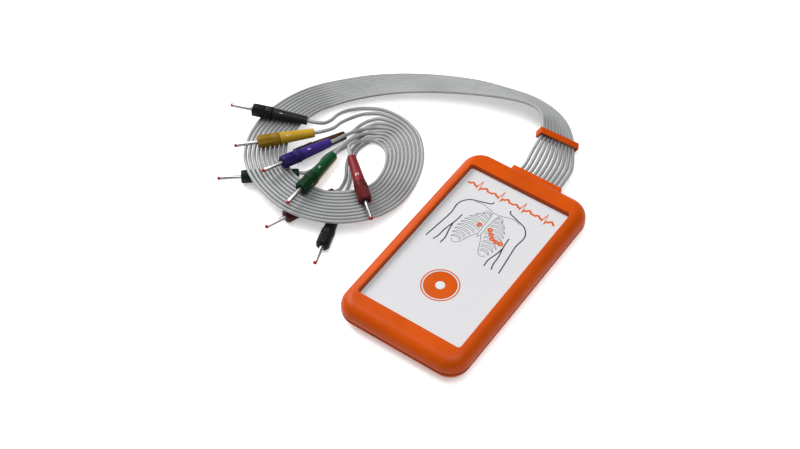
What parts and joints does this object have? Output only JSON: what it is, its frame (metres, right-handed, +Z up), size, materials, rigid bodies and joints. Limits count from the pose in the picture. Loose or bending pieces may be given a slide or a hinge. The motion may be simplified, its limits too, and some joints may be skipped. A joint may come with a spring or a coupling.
{
  "type": "ecg home monitor",
  "caption": "Flat handheld heart monitor with a sunk front panel, one start button, and a loop of captive patient leads ending in coloured pin plugs.",
  "frame": {"origin": "middle of the closed case's underside, without the leads", "axes": "+Y along the case towards the cable end, +Z up out of the front panel, +X to the right when the start button is nearest the reader"},
  "size_m": [0.1806, 0.1689, 0.0169],
  "materials": {
    "case_orange": "satin moulded plastic",
    "button_orange": "satin moulded plastic",
    "moulding_orange": "satin moulded plastic",
    "seal_black": "matt rubber",
    "panel_white": "printed polycarbonate sheet, low gloss",
    "dot_white": "glossy",
    "spring_steel": "rolled",
    "board_green": "solder mask",
    "chip_black": "moulded epoxy",
    "tinned_steel": "tinned",
    "connector_ivory": "moulded",
    "wire_grey": "insulation",
    "battery_blue": "shrink wrap",
    "contact_gold": "plated spring strip",
    "foam_black": "closed-cell foam",
    "screw_steel": "zinc plated",
    "lead_grey": "smooth satin sheath",
    "plug_black": "satin moulded",
    "plug_yellow": "satin moulded",
    "plug_dark_green": "satin moulded",
    "plug_violet": "satin moulded",
    "plug_brown": "satin moulded",
    "plug_green": "satin moulded",
    "plug_maroon": "satin moulded",
    "plug_red": "satin moulded",
    "pin_steel": "nickel plated",
    "pin_end_red": "glossy"
  },
  "bodies": {
    "monitor": {"lower_shell": "case_orange", "upper_housing": "case_orange", "perimeter_seal": "seal_black", "front_panel": "panel_white", "switch_dome": "spring_steel", "main_board": "board_green", "processor": "chip_black", "memory_chip": "chip_black", "front_end_chip": "chip_black", "front_end_shield": "tinned_steel", "radio_module": "tinned_steel", "protection_resistors": "chip_black", "lead_connector": "connector_ivory", "inner_wires": "wire_grey", "cable_gland": "moulding_orange", "clip_upper": "moulding_orange", "clip_lower": "moulding_orange", "battery_pack": "battery_blue", "battery_contacts": "contact_gold", "case_screws": "screw_steel", "board_screws": "screw_steel", "lead_1": "lead_grey", "lead_2": "lead_grey", "lead_3": "lead_grey", "lead_4": "lead_grey", "lead_5": "lead_grey", "lead_6": "lead_grey", "lead_7": "lead_grey", "lead_8": "lead_grey", "lead_9": "lead_grey", "lead_10": "lead_grey", "plug_1": "plug_black", "plug_2": "plug_yellow", "plug_3": "plug_brown", "plug_4": "plug_dark_green", "plug_5": "plug_violet", "plug_6": "plug_yellow", "plug_7": "plug_green", "plug_8": "plug_maroon", "plug_9": "plug_black", "plug_10": "plug_red", "plug_pins": "pin_steel", "pin_ends": "pin_end_red"},
    "button": {"start_button": "button_orange", "button_dot": "dot_white"},
    "door": {"battery_door": "case_orange", "door_pad": "foam_black"}
  },
  "joints": [
    {"name": "button_press", "type": "slide", "parent": "monitor", "child": "button", "axis": [0, 0, -1], "range_m": [0, 0.0004], "stiffness_N_per_m": 3000, "springref_m": -0.0002, "deforming": ["switch_dome"]},
    {"name": "battery_door_hinge", "type": "hinge", "parent": "monitor", "child": "door", "pos_m": [0, -0.029, 0.0013], "axis": [-1, 0, 0], "range_deg": [0, 80]}
  ]
}
